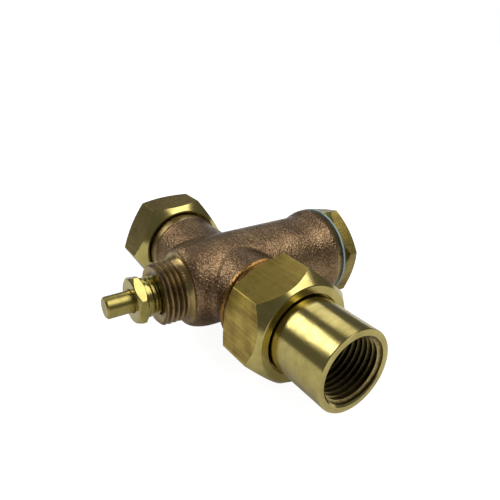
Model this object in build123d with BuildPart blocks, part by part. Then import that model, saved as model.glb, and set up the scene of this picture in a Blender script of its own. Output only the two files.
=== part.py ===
"""Spring-loaded pressure relief valve with a manual lifting stem and two union ports.

Frame: the barrel lies along X with the lifting stem at -X and the closing cap at +X. The outlet
leaves along -Y and the inlet along +Y. The origin is on the barrel axis, in the middle of the
spigot's full thread. All sizes are in millimetres.
"""
import os
from math import cos, radians

from build123d import *

# ---- thread sizes (plain cylinders stand for the threads, at their real wall radii) ----
spigot_thread_r = 10.48      # G 1/2 male, crest radius
tail_thread_r = 9.32         # G 1/2 female, crest radius
union_male_r = 14.90         # M30 x 1.5 male
union_female_r = 15.00       # M30 x 1.5 female, root radius, where it runs on the male thread
swivel_female_r = 14.19      # M30 x 1.5 female, crest radius, where the mating pipe screws in
gland_male_r = 6.55          # G 1/4 male
cap_male_r = 13.00           # M26 x 1.5 male
thread_gap = 0.10            # radial room between a hidden male and female thread

# ---- clearances ----
running_gap = 0.05           # stem in its bush
packing_gap = 0.03           # packing on the stem and in its chamber
loose_gap = 0.25             # parts that only pass through one another
follower_gap = 0.10          # gland follower in the packing chamber and in the gland nut
tail_gap = 0.05              # disc parts on the tail of the stem
spring_seat_gap = 0.05       # each end of the spring
gasket_bore_gap = 0.30       # a gasket's hole is this much wider than the port

# ---- small edges ----
root_depth = 1.0             # how far a turned feature is rooted in what carries it
edge_break = 0.5             # chamfer on plain turned edges
fine_edge = 0.3              # chamfer on small edges

# ---- barrel ----
barrel_r = 15.0
barrel_round_len = 9.2       # the stem end is rounded over this length
barrel_len = 59.0            # from the machined face that the spigot stands on to the cap's joint
shoulder_round = 3.0         # how far the rounding brings the radius down
flare_len = 10.0             # the cap end swells over this length
flare_rise = 1.7
land_step = 0.3              # machined rim under the gasket, below the cast surface
land_len = 2.7
flare_top_len = 1.0          # the swelling levels out over this length
flare_top_drop = 0.12
flare_end_slope = 0.1
spigot_len = 9.2
spigot_chamfer = 1.0

# ---- necks ----
outlet_from_shoulder = 18.0
inlet_from_shoulder = 16.3
neck_r = 13.2
neck_fillet = 3.0
inlet_neck_len = 10.3        # cast part of the inlet neck, from the barrel
inlet_collar_r = 13.7
inlet_collar_len = 10.7
outlet_neck_len = 6.0        # cast part of the outlet branch, from the barrel
outlet_thread_len = 14.2
outlet_thread_chamfer = 1.0
port_r = 8.0
outlet_passage_w = 8.8       # milled way from the outlet port into the spring side
outlet_passage_slot = 2.0    # distance between the ends' centres
outlet_passage_shift = 6.3   # from the outlet side of the seat wall
inlet_passage_r = 4.3        # drilled way from the inlet port into the stem side
inlet_passage_shift = 4.4    # from the stem side of the seat wall
passage_break = 0.1          # each way runs this much past the end of its port bore

# ---- inside of the barrel ----
chamber_r = 11.2             # spring and outlet side
cap_thread_len = 10.0
seat_from_shoulder = 18.5    # outlet side of the wall that holds the seat
seat_wall_len = 3.5
inlet_chamber_r = 6.6
inlet_chamber_len = 9.5

# ---- seat ----
seat_bore_r = 5.5
seat_thread_r = 8.0
seat_flange_r = 9.6
seat_flange_len = 1.0
seat_lip_len = 0.8
seat_lip_w = 0.9

# ---- stem and its packing ----
stem_r = 3.6
stem_from_shoulder = 25.5    # how far the stem reaches out
stem_chamfer = 0.5
stem_tail_r = 2.5
bush_r = 5.0
bush_len = 3.6
packing_r = 5.6
packing_len = 1.6
packing_count = 3
packing_washer_len = 0.8
packing_split = 0.02         # between one packing ring and the next

# ---- gland ----
gland_across_flats = 14.5
gland_hex_len = 3.5
gland_hex_turn = 37.5
gland_face_drop = 0.2        # the round faces are this much smaller than the flats
gland_chamfer_len = 1.15     # at the corners, on both faces
gland_tip_chamfer = 0.6
gland_shown = 4.3            # thread left between the hexagon and the spigot
follower_tail_r = 4.85
follower_tail_len = 3.2
follower_head_len = 1.8

# ---- disc ----
disc_r = 8.0
disc_len = 2.5
disc_edge = 0.2
disc_washer_r = 4.9
disc_washer_len = 1.1
holder_wall = 1.2
holder_flange_r = 10.4
holder_flange_len = 1.4
holder_boss_r = 6.0
holder_boss_len = 3.0
disc_nut_across_flats = 8.0
disc_nut_len = 3.2
disc_nut_chamfer = 0.7
stem_tail_over = 1.0         # plain end of the stem beyond its nut

# ---- spring ----
wire_r = 0.8
coil_r = 7.4
coil_turns = 8.0
spring_cup_r = 9.8
spring_cup_len = 1.2
spring_cup_pin_r = 6.2
spring_cup_pin_len = 2.0
spring_cup_pin_taper = 0.4

# ---- cap ----
cap_across_flats = 31.0
cap_hex_turn = 45.0
cap_head_len = 6.2
cap_chamfer_r = 15.2
cap_chamfer_len = 1.6
cap_tip_gap = 0.5            # thread end to the bottom of the tapped hole
cap_tip_chamfer = 1.0
cap_pocket_r = 10.3
cap_pocket_floor = 4.4       # distance from the joint face into the head side of the cap
gasket_len = 0.8
gasket_r = 16.6

# ---- union nuts ----
nut_across_flats = 33.0
nut_hex_turn_outlet = 80.0
nut_hex_turn_inlet = 62.9
nut_face_r = 15.6
nut_front_chamfer = 4.5      # from the collar face to the corners
nut_back_r = 15.9
nut_back_chamfer = 2.2
outlet_nut_len = 18.0
outlet_nut_hole_r = 12.95
nut_collar_len = 3.5
inlet_nut_stand = 4.0        # the swivel nut's face stands off the end of the cast neck
inlet_nut_len = 15.5
inlet_nut_hole_r = 14.15
inlet_nut_face_r = 15.0
inlet_front_chamfer = 3.6
nut_mouth_chamfer = 0.9
ring_room_r = 15.1

# ---- tailpiece, gaskets and ring ----
tail_r = 12.4
tail_flange_r = 14.0
tail_flange_len = 3.5
tail_len = 26.8
tail_thread_len = 16.0
tail_mouth_r = 10.55
tail_mouth_len = 1.2
tail_edge = 0.4
union_gasket_len = 1.5
outlet_gasket_margin = 1.2   # inside the crest of the branch thread
inlet_washer_len = 1.5
ring_len = 1.5
ring_r = 14.85
ring_groove_r = 12.6
ring_slot = 3.0
ring_seat_gap = 0.1

# ---- derived places ----
shoulder_x = (spigot_len - spigot_chamfer) / 2
flange_x = shoulder_x + barrel_len
outlet_x = shoulder_x + outlet_from_shoulder
inlet_x = shoulder_x + inlet_from_shoulder
seat_wall_x = shoulder_x + seat_from_shoulder
stem_end_x = shoulder_x - stem_from_shoulder
shoulder_face_r = barrel_r - shoulder_round
flare_r = barrel_r + flare_rise
land_r = flare_r - land_step
flare_start_x = flange_x - flare_len
land_x = flange_x - land_len
port_floor = barrel_r        # the wide port bores stop at the barrel's own radius
inlet_collar_start = barrel_r + inlet_neck_len
inlet_neck_end = inlet_collar_start + inlet_collar_len
inlet_nut_face = inlet_collar_start + inlet_nut_stand
outlet_thread_start = barrel_r + outlet_neck_len
outlet_neck_end = outlet_thread_start + outlet_thread_len
outlet_axis = Axis((outlet_x, 0, 0), (0, 1, 0))
outlet_plane = Plane.YZ.offset(outlet_x)
inlet_axis = Axis((inlet_x, 0, 0), (0, 1, 0))
inlet_plane = Plane.YZ.offset(inlet_x)
spigot_end_x = shoulder_x - spigot_len
seat_wall_back = seat_wall_x - seat_wall_len
chamber_end = seat_wall_back - inlet_chamber_len
packing_floor = chamber_end - bush_len
packing_start = packing_floor - packing_washer_len
packing_end = packing_start - packing_count * packing_len
gland_inner_x = packing_end - follower_head_len
gland_hex_x = spigot_end_x - gland_shown
gland_front_x = gland_hex_x - gland_hex_len
disc_x = seat_wall_x + seat_flange_len + seat_lip_len
holder_x = disc_x + disc_len
holder_top_x = holder_x + holder_flange_len
nut_x = holder_top_x + holder_boss_len
cap_face_x = flange_x + gasket_len
pocket_floor_x = cap_face_x - cap_pocket_floor
tail_flange_y = outlet_neck_end + union_gasket_len
outlet_nut_face = tail_flange_y + tail_flange_len + nut_collar_len
tail_end = tail_flange_y + tail_len
ring_y = inlet_nut_face + nut_collar_len + loose_gap


def turned(points, plane=Plane.XZ, axis=Axis.X, mode=Mode.ADD):
    """Revolve a closed outline of (distance along the axis, radius) points."""
    with BuildSketch(plane) as profile:
        with BuildLine():
            Polyline(*points, close=True)
        make_face()
    revolve(profile.sketch, axis=axis, mode=mode)


def hexagon(plane, across_flats, turn, length):
    """Hexagon bar, its corners turned from the plane's x direction."""
    with BuildSketch(plane) as profile:
        RegularPolygon(across_flats / 2, 6, major_radius=False, rotation=turn)
    extrude(profile.sketch, amount=length)


def across_plane_x(x):
    """Plane square to the barrel axis, facing +X, with its x direction along +Y."""
    return Plane(origin=(x, 0, 0), x_dir=(0, 1, 0), z_dir=(1, 0, 0))


def across_plane_y(x, y):
    """Plane square to a port axis, facing -Y, with its x direction along +X."""
    return Plane(origin=(x, y, 0), x_dir=(1, 0, 0), z_dir=(0, -1, 0))


# ---- valve body: one bronze casting with its machined threads, faces and bores ----
with BuildPart() as valve_body:
    with BuildSketch(Plane.XZ):
        with BuildLine():
            Polyline((shoulder_x, 0), (shoulder_x, shoulder_face_r))
            EllipticalCenterArc(
                (shoulder_x + barrel_round_len, shoulder_face_r),
                barrel_round_len,
                barrel_r - shoulder_face_r,
                start_angle=90,
                arc_size=90,
            )
            Line((shoulder_x + barrel_round_len, barrel_r), (flare_start_x, barrel_r))
            Spline(
                (flare_start_x, barrel_r),
                (land_x - flare_top_len, flare_r - flare_top_drop),
                (land_x, flare_r),
                tangents=[(1, 0), (1, flare_end_slope)],
            )
            Polyline(
                (land_x, flare_r),
                (land_x, land_r),
                (flange_x, land_r),
                (flange_x, 0),
                (shoulder_x, 0),
            )
        make_face()
    revolve(axis=Axis.X)
    # necks of the two ports, blended into the barrel before anything is cut
    with BuildSketch(across_plane_y(outlet_x, 0)):
        Circle(neck_r)
    extrude(amount=outlet_thread_start)
    with BuildSketch(across_plane_y(inlet_x, 0)):
        Circle(neck_r)
    extrude(amount=-inlet_collar_start)
    neck_joints = valve_body.edges().filter_by(
        lambda edge: edge.geom_type not in (GeomType.CIRCLE, GeomType.LINE)
        and barrel_r / 3 < abs(edge.center().Y) < barrel_r + root_depth
    )
    fillet(neck_joints, radius=neck_fillet)
    # spigot, outlet thread and inlet collar
    turned([
        (shoulder_x + root_depth, 0),
        (shoulder_x + root_depth, spigot_thread_r),
        (spigot_end_x + spigot_chamfer, spigot_thread_r),
        (spigot_end_x, spigot_thread_r - spigot_chamfer),
        (spigot_end_x, 0),
    ])
    turned([
        (-outlet_thread_start + root_depth, 0),
        (-outlet_thread_start + root_depth, neck_r - root_depth),
        (-outlet_thread_start, union_male_r),
        (-outlet_neck_end + outlet_thread_chamfer, union_male_r),
        (-outlet_neck_end, union_male_r - outlet_thread_chamfer),
        (-outlet_neck_end, 0),
    ], outlet_plane, outlet_axis)
    turned([
        (inlet_collar_start - root_depth, 0),
        (inlet_collar_start - root_depth, neck_r - edge_break),
        (inlet_collar_start, inlet_collar_r - fine_edge),
        (inlet_collar_start + fine_edge, inlet_collar_r),
        (ring_y, inlet_collar_r),
        (ring_y, ring_groove_r),
        (ring_y + ring_len + loose_gap, ring_groove_r),
        (ring_y + ring_len + loose_gap, inlet_collar_r),
        (inlet_neck_end - edge_break, inlet_collar_r),
        (inlet_neck_end, inlet_collar_r - edge_break),
        (inlet_neck_end, 0),
    ], inlet_plane, inlet_axis)
    # barrel bores, from the cap end and from the stem end
    turned([
        (flange_x, 0),
        (flange_x, cap_male_r + thread_gap),
        (flange_x - cap_thread_len, cap_male_r + thread_gap),
        (flange_x - cap_thread_len, chamber_r),
        (seat_wall_x, chamber_r),
        (seat_wall_x, seat_thread_r + thread_gap),
        (seat_wall_back, seat_thread_r + thread_gap),
        (seat_wall_back, inlet_chamber_r),
        (chamber_end, inlet_chamber_r),
        (chamber_end, bush_r),
        (packing_floor, bush_r),
        (packing_floor, packing_r),
        (gland_inner_x + gland_tip_chamfer, packing_r),
        (gland_inner_x + gland_tip_chamfer, gland_male_r + thread_gap),
        (spigot_end_x, gland_male_r + thread_gap),
        (spigot_end_x, 0),
    ], mode=Mode.SUBTRACT)
    # outlet port opens into the spring side, inlet port into the stem side
    with BuildSketch(across_plane_y(outlet_x, -outlet_neck_end)):
        Circle(port_r)
    extrude(amount=-(outlet_neck_end - port_floor), mode=Mode.SUBTRACT)
    with BuildSketch(across_plane_y(seat_wall_x + outlet_passage_shift, 0)):
        SlotCenterToCenter(outlet_passage_slot, outlet_passage_w)
    extrude(amount=port_floor + passage_break, mode=Mode.SUBTRACT)
    with BuildSketch(across_plane_y(inlet_x, inlet_neck_end)):
        Circle(port_r)
    extrude(amount=inlet_neck_end - port_floor, mode=Mode.SUBTRACT)
    with BuildSketch(across_plane_y(seat_wall_back - inlet_passage_shift, 0)):
        Circle(inlet_passage_r)
    extrude(amount=-(port_floor + passage_break), mode=Mode.SUBTRACT)
valve_body.part.label = "valve_body"

# ---- seat ring: brass, screwed into the wall between the two chambers ----
with BuildPart() as seat_ring:
    turned([
        (seat_wall_back, seat_bore_r),
        (seat_wall_back, seat_thread_r),
        (seat_wall_x, seat_thread_r),
        (seat_wall_x, seat_flange_r),
        (seat_wall_x + seat_flange_len, seat_flange_r),
        (seat_wall_x + seat_flange_len, seat_bore_r + 2 * seat_lip_w),
        (disc_x, seat_bore_r + seat_lip_w),
        (disc_x, seat_bore_r),
    ])
seat_ring.part.label = "seat_ring"

# ---- guide bush: bronze, pressed in behind the packing ----
with BuildPart() as guide_bush:
    turned([
        (chamber_end, stem_r + running_gap),
        (chamber_end, bush_r),
        (packing_floor, bush_r),
        (packing_floor, stem_r + running_gap),
    ])
guide_bush.part.label = "guide_bush"

# ---- packing washer and packing rings ----
with BuildPart() as packing_washer:
    turned([
        (packing_floor, stem_r + loose_gap),
        (packing_floor, packing_r - loose_gap),
        (packing_start, packing_r - loose_gap),
        (packing_start, stem_r + loose_gap),
    ])
packing_washer.part.label = "packing_washer"

with BuildPart() as stem_packing:
    for turn in range(packing_count):
        ring_x = packing_start - turn * packing_len
        turned([
            (ring_x - packing_split, stem_r + packing_gap),
            (ring_x - packing_split, packing_r - packing_gap),
            (ring_x - packing_len, packing_r - packing_gap),
            (ring_x - packing_len, stem_r + packing_gap),
        ])
stem_packing.part.label = "stem_packing"

# ---- gland follower: brass sleeve that presses the packing ----
with BuildPart() as gland_follower:
    turned([
        (packing_end, stem_r + running_gap),
        (packing_end, packing_r - follower_gap),
        (gland_inner_x, packing_r - follower_gap),
        (gland_inner_x, follower_tail_r),
        (gland_inner_x - follower_tail_len, follower_tail_r),
        (gland_inner_x - follower_tail_len, stem_r + running_gap),
    ])
gland_follower.part.label = "gland_follower"

# ---- gland nut: hexagon head, male thread, bored for the stem and the follower ----
gland_corner_r = gland_across_flats / 2 / cos(radians(30))
gland_face_r = gland_across_flats / 2 - gland_face_drop
gland_pocket_x = gland_inner_x - follower_tail_len - fine_edge
with BuildPart() as gland_nut:
    hexagon(across_plane_x(gland_front_x), gland_across_flats, gland_hex_turn, gland_hex_len)
    turned([
        (gland_front_x, 0),
        (gland_front_x, gland_face_r),
        (gland_front_x + gland_chamfer_len, gland_corner_r),
        (gland_hex_x - gland_chamfer_len, gland_corner_r),
        (gland_hex_x, gland_face_r),
        (gland_hex_x, 0),
    ], mode=Mode.INTERSECT)
    turned([
        (gland_hex_x, 0),
        (gland_hex_x, gland_male_r),
        (gland_inner_x - gland_tip_chamfer, gland_male_r),
        (gland_inner_x, gland_male_r - gland_tip_chamfer),
        (gland_inner_x, 0),
    ])
    turned([
        (gland_front_x, 0),
        (gland_front_x, stem_r + loose_gap + fine_edge),
        (gland_front_x + fine_edge, stem_r + loose_gap),
        (gland_pocket_x, stem_r + loose_gap),
        (gland_pocket_x, follower_tail_r + follower_gap),
        (gland_inner_x, follower_tail_r + follower_gap),
        (gland_inner_x, 0),
    ], mode=Mode.SUBTRACT)
gland_nut.part.label = "gland_nut"

# ---- lifting stem: brass rod, stepped down where the disc is carried ----
washer_x = disc_x - disc_washer_len
stem_tail_x = nut_x + disc_nut_len + stem_tail_over
with BuildPart() as lifting_stem:
    turned([
        (stem_end_x, 0),
        (stem_end_x, stem_r - stem_chamfer),
        (stem_end_x + stem_chamfer, stem_r),
        (washer_x, stem_r),
        (washer_x, stem_tail_r),
        (stem_tail_x, stem_tail_r),
        (stem_tail_x + edge_break, stem_tail_r - edge_break),
        (stem_tail_x + edge_break, 0),
    ])
lifting_stem.part.label = "lifting_stem"

# ---- disc washer, soft seat disc, disc holder and its lock nut ----
with BuildPart() as disc_washer:
    turned([
        (washer_x, stem_tail_r + tail_gap),
        (washer_x, disc_washer_r),
        (disc_x, disc_washer_r),
        (disc_x, stem_tail_r + tail_gap),
    ])
disc_washer.part.label = "disc_washer"

with BuildPart() as seat_disc:
    turned([
        (disc_x, stem_tail_r + tail_gap),
        (disc_x, disc_r - disc_edge),
        (disc_x + disc_edge, disc_r),
        (holder_x, disc_r),
        (holder_x, stem_tail_r + tail_gap),
    ])
seat_disc.part.label = "seat_disc"

with BuildPart() as disc_holder:
    turned([
        (holder_x, stem_tail_r + tail_gap),
        (holder_x, disc_r + tail_gap),
        (holder_x - disc_len / 2, disc_r + tail_gap),
        (holder_x - disc_len / 2, disc_r + holder_wall),
        (holder_x, disc_r + holder_wall),
        (holder_x, holder_flange_r),
        (holder_top_x, holder_flange_r),
        (holder_top_x, holder_boss_r),
        (nut_x, holder_boss_r - edge_break),
        (nut_x, stem_tail_r + tail_gap),
    ])
disc_holder.part.label = "disc_holder"

with BuildPart() as disc_nut:
    hexagon(across_plane_x(nut_x), disc_nut_across_flats, 0, disc_nut_len)
    turned([
        (nut_x, stem_tail_r + tail_gap),
        (nut_x, disc_nut_across_flats),
        (nut_x + disc_nut_len - disc_nut_chamfer, disc_nut_across_flats / 2 / cos(radians(30))),
        (nut_x + disc_nut_len, disc_nut_across_flats / 2),
        (nut_x + disc_nut_len, stem_tail_r + tail_gap),
    ], mode=Mode.INTERSECT)
disc_nut.part.label = "disc_nut"

# ---- spring cup in the floor of the cap, and the closing spring ----
cup_x = pocket_floor_x - spring_cup_len
with BuildPart() as spring_cup:
    turned([
        (pocket_floor_x, 0),
        (pocket_floor_x, spring_cup_r),
        (cup_x, spring_cup_r),
        (cup_x, spring_cup_pin_r),
        (cup_x - spring_cup_pin_len, spring_cup_pin_r - spring_cup_pin_taper),
        (cup_x - spring_cup_pin_len, 0),
    ])
spring_cup.part.label = "spring_cup"

spring_start = holder_top_x + wire_r + spring_seat_gap
spring_len = cup_x - wire_r - spring_seat_gap - spring_start
with BuildPart() as closing_spring:
    with BuildLine():
        coil = Helix(
            pitch=spring_len / coil_turns,
            height=spring_len,
            radius=coil_r,
            center=(spring_start, 0, 0),
            direction=(1, 0, 0),
        )
    with BuildSketch(Plane(origin=coil @ 0, z_dir=coil % 0)):
        Circle(wire_r)
    sweep(path=coil, is_frenet=True)
closing_spring.part.label = "closing_spring"

# ---- end cap: hexagon head over a male thread, hollow for the spring ----
cap_corner_r = cap_across_flats / 2 / cos(radians(30))
cap_end_x = cap_face_x + cap_head_len
cap_tip_x = flange_x - cap_thread_len + cap_tip_gap
with BuildPart() as end_cap:
    hexagon(across_plane_x(cap_face_x), cap_across_flats, cap_hex_turn, cap_head_len)
    turned([
        (cap_face_x, 0),
        (cap_face_x, cap_chamfer_r),
        (cap_face_x + cap_chamfer_len, cap_corner_r),
        (cap_end_x - cap_chamfer_len, cap_corner_r),
        (cap_end_x, cap_chamfer_r),
        (cap_end_x, 0),
    ], mode=Mode.INTERSECT)
    turned([
        (cap_face_x, 0),
        (cap_face_x, cap_male_r),
        (cap_tip_x + cap_tip_chamfer, cap_male_r),
        (cap_tip_x, cap_male_r - cap_tip_chamfer),
        (cap_tip_x, 0),
    ])
    turned([
        (flange_x - cap_thread_len, 0),
        (flange_x - cap_thread_len, cap_pocket_r),
        (pocket_floor_x, cap_pocket_r),
        (pocket_floor_x, 0),
    ], mode=Mode.SUBTRACT)
end_cap.part.label = "end_cap"

# ---- cap gasket: flat fibre ring between the body rim and the cap ----
with BuildPart() as cap_gasket:
    turned([
        (flange_x, cap_male_r + thread_gap),
        (flange_x, gasket_r),
        (cap_face_x, gasket_r),
        (cap_face_x, cap_male_r + thread_gap),
    ])
cap_gasket.part.label = "cap_gasket"

# ---- outlet tailpiece, its gasket and its union nut ----
with BuildPart() as outlet_tailpiece:
    turned([
        (-tail_flange_y, port_r),
        (-tail_flange_y, tail_flange_r),
        (-tail_flange_y - tail_flange_len, tail_flange_r),
        (-tail_flange_y - tail_flange_len, tail_r),
        (-tail_end + tail_edge, tail_r),
        (-tail_end, tail_r - tail_edge),
        (-tail_end, tail_mouth_r),
        (-tail_end + tail_mouth_len, tail_thread_r),
        (-tail_end + tail_mouth_len + tail_thread_len, tail_thread_r),
        (-tail_end + tail_mouth_len + tail_thread_len, port_r),
    ], outlet_plane, outlet_axis)
outlet_tailpiece.part.label = "outlet_tailpiece"

with BuildPart() as outlet_gasket:
    turned([
        (-outlet_neck_end, port_r + gasket_bore_gap),
        (-outlet_neck_end, union_male_r - outlet_gasket_margin),
        (-tail_flange_y, union_male_r - outlet_gasket_margin),
        (-tail_flange_y, port_r + gasket_bore_gap),
    ], outlet_plane, outlet_axis)
outlet_gasket.part.label = "outlet_gasket"

nut_corner_r = nut_across_flats / 2 / cos(radians(30))
outlet_nut_back = outlet_nut_face - outlet_nut_len
with BuildPart() as outlet_nut:
    hexagon(
        across_plane_y(outlet_x, -outlet_nut_back),
        nut_across_flats,
        nut_hex_turn_outlet,
        outlet_nut_len,
    )
    turned([
        (-outlet_nut_face, 0),
        (-outlet_nut_face, nut_face_r),
        (-outlet_nut_face + nut_front_chamfer, nut_corner_r),
        (-outlet_nut_back - nut_back_chamfer, nut_corner_r),
        (-outlet_nut_back, nut_back_r),
        (-outlet_nut_back, 0),
    ], outlet_plane, outlet_axis, Mode.INTERSECT)
    turned([
        (-outlet_nut_face, 0),
        (-outlet_nut_face, outlet_nut_hole_r),
        (-tail_flange_y - tail_flange_len, outlet_nut_hole_r),
        (-tail_flange_y - tail_flange_len, union_female_r),
        (-outlet_nut_back - edge_break, union_female_r),
        (-outlet_nut_back, union_female_r + edge_break),
        (-outlet_nut_back, 0),
    ], outlet_plane, outlet_axis, Mode.SUBTRACT)
outlet_nut.part.label = "outlet_nut"

# ---- inlet swivel nut, the split ring that holds it on, and the flat washer inside it ----
inlet_nut_end = inlet_nut_face + inlet_nut_len
collar_inner_y = inlet_nut_face + nut_collar_len
swivel_thread_y = inlet_neck_end + inlet_washer_len
with BuildPart() as inlet_nut:
    hexagon(
        across_plane_y(inlet_x, inlet_nut_end),
        nut_across_flats,
        nut_hex_turn_inlet,
        inlet_nut_len,
    )
    turned([
        (inlet_nut_face, 0),
        (inlet_nut_face, inlet_nut_face_r),
        (inlet_nut_face + inlet_front_chamfer, nut_corner_r),
        (inlet_nut_end - nut_back_chamfer, nut_corner_r),
        (inlet_nut_end, nut_back_r),
        (inlet_nut_end, 0),
    ], inlet_plane, inlet_axis, Mode.INTERSECT)
    turned([
        (inlet_nut_face, 0),
        (inlet_nut_face, inlet_nut_hole_r),
        (collar_inner_y, inlet_nut_hole_r),
        (collar_inner_y, ring_room_r),
        (swivel_thread_y, ring_room_r),
        (swivel_thread_y, swivel_female_r),
        (inlet_nut_end - nut_mouth_chamfer, swivel_female_r),
        (inlet_nut_end, swivel_female_r + nut_mouth_chamfer),
        (inlet_nut_end, 0),
    ], inlet_plane, inlet_axis, Mode.SUBTRACT)
inlet_nut.part.label = "inlet_nut"

with BuildPart() as retaining_ring:
    turned([
        (ring_y + loose_gap / 2, ring_groove_r + ring_seat_gap),
        (ring_y + loose_gap / 2, ring_r),
        (ring_y + loose_gap / 2 + ring_len, ring_r),
        (ring_y + loose_gap / 2 + ring_len, ring_groove_r + ring_seat_gap),
    ], inlet_plane, inlet_axis)
    with BuildSketch(across_plane_y(inlet_x, ring_y + 2 * ring_len)):
        with Locations((0, -ring_r)):
            Rectangle(ring_slot, ring_r)
    extrude(amount=3 * ring_len, mode=Mode.SUBTRACT)
retaining_ring.part.label = "retaining_ring"

with BuildPart() as inlet_washer:
    turned([
        (inlet_neck_end, port_r + gasket_bore_gap),
        (inlet_neck_end, inlet_collar_r),
        (inlet_neck_end + inlet_washer_len, inlet_collar_r),
        (inlet_neck_end + inlet_washer_len, port_r + gasket_bore_gap),
    ], inlet_plane, inlet_axis)
inlet_washer.part.label = "inlet_washer"

# ---- one STEP file for each piece ----
os.makedirs("parts", exist_ok=True)
for piece in (
    valve_body, seat_ring, guide_bush, packing_washer, stem_packing, gland_follower, gland_nut,
    lifting_stem, disc_washer, seat_disc, disc_holder, disc_nut, spring_cup, closing_spring,
    end_cap, cap_gasket, outlet_tailpiece, outlet_gasket, outlet_nut, inlet_nut,
    retaining_ring, inlet_washer,
):
    export_step(piece.part, f"parts/{piece.part.label}.step")
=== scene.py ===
"""Looks of a spring-loaded pressure relief valve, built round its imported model.

The barrel lies along X, with the lifting stem at -X and the cap at +X. The outlet union leaves
along -Y and the inlet swivel nut along +Y. Lengths are in millimetres times MM.
"""
import math

import bpy
from mathutils import Matrix, Quaternion, Vector


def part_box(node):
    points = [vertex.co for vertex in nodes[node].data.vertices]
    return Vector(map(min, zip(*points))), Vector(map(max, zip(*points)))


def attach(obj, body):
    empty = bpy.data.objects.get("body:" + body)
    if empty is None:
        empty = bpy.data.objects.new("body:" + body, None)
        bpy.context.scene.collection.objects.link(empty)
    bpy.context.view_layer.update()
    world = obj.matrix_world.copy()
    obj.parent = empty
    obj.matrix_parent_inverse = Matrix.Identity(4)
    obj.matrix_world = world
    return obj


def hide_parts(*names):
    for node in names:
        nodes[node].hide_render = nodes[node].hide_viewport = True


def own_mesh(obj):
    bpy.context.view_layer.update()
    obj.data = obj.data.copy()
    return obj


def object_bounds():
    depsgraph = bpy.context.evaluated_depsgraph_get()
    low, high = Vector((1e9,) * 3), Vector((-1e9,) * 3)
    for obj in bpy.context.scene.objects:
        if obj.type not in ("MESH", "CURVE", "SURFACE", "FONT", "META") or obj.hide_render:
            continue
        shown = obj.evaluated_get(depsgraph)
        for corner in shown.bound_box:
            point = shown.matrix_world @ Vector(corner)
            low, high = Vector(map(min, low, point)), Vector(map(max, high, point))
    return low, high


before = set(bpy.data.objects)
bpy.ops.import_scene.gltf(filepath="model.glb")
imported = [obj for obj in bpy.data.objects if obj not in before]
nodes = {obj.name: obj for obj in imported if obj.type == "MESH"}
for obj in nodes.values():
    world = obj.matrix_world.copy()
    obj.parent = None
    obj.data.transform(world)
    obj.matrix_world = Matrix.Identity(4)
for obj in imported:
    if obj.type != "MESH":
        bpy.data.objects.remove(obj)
cad_low, cad_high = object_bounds()
bpy.ops.object.select_all(action="DESELECT")

# ==== camera ====
# Above and to the left of the outlet, near the stem end, with a normal lens and a slight roll.
MM = 0.001
scene = bpy.context.scene
tail_low, tail_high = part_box("outlet_tailpiece")
outlet_x = (tail_low.x + tail_high.x) / 2 / MM
outlet_centre = (outlet_x, 0, 0)


def direction(azimuth, elevation):
    """Unit vector out of the object. Azimuth 0 is -Y and 90 is +X; elevation is above the floor."""
    a = math.radians(azimuth)
    e = math.radians(elevation)
    return Vector((math.sin(a) * math.cos(e), -math.cos(a) * math.cos(e), math.sin(e)))


CAMERA_TARGET = Vector((outlet_x + 0.625, -13.8, 14.92)) * MM
CAMERA_DISTANCE = 158.3 * MM
CAMERA_AZIMUTH = -34.67
CAMERA_ELEVATION = 24.21
CAMERA_ROLL = 1.674
camera = bpy.data.objects.new("camera", bpy.data.cameras.new("camera"))
scene.collection.objects.link(camera)
camera.data.lens = 35.65
camera.data.clip_start = 5 * MM
camera.data.clip_end = 20
toward_camera = direction(CAMERA_AZIMUTH, CAMERA_ELEVATION)
camera.location = CAMERA_TARGET + toward_camera * CAMERA_DISTANCE
camera.rotation_mode = "QUATERNION"
roll = Quaternion((0, 0, 1), math.radians(CAMERA_ROLL))
camera.rotation_quaternion = toward_camera.to_track_quat("Z", "Y") @ roll
scene.camera = camera
scene.view_settings.view_transform = "Standard"


# ==== white table ====
# A plain white table that the valve lies on, in a white room. Its own white makes it plain to the
# eye, and its lit white keeps the shadow under the valve, deeper in the metal's reflections.
def srgb(hex_colour):
    """Linear colour with alpha from an sRGB hex value."""
    parts = [int(hex_colour[i:i + 2], 16) / 255 for i in (1, 3, 5)]
    return tuple(c / 12.92 if c <= 0.04045 else ((c + 0.055) / 1.055) ** 2.4 for c in parts) + (1,)


def add_node(tree, kind, inputs=None, stops=None, **settings):
    """A shader node with its settings. An input is a value, or (node, output) to link from."""
    node = tree.nodes.new(kind)
    for name, value in settings.items():
        setattr(node, name, value)
    for position, (place, colour) in enumerate(stops or []):
        elements = node.color_ramp.elements
        element = elements[position]
        element.position = place
        element.color = srgb(colour) if isinstance(colour, str) else (colour, colour, colour, 1)
    for socket, value in (inputs or {}).items():
        if isinstance(value, tuple) and isinstance(value[0], bpy.types.Node):
            tree.links.new(value[0].outputs[value[1]], node.inputs[socket])
        else:
            node.inputs[socket].default_value = value
    return node


def empty_tree(data):
    """The node tree of a material or world, with nothing in it."""
    data.use_nodes = True
    data.node_tree.nodes.clear()
    return data.node_tree


def background_ray(tree):
    """1 for the rays that see the background: camera, glossy and transmission rays."""
    path = add_node(tree, "ShaderNodeLightPath")
    either = add_node(tree, "ShaderNodeMath", operation="MAXIMUM", inputs={
        0: (path, "Is Camera Ray"), 1: (path, "Is Glossy Ray")})
    return add_node(tree, "ShaderNodeMath", operation="MAXIMUM", inputs={
        0: (either, 0), 1: (path, "Is Transmission Ray")})


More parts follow.
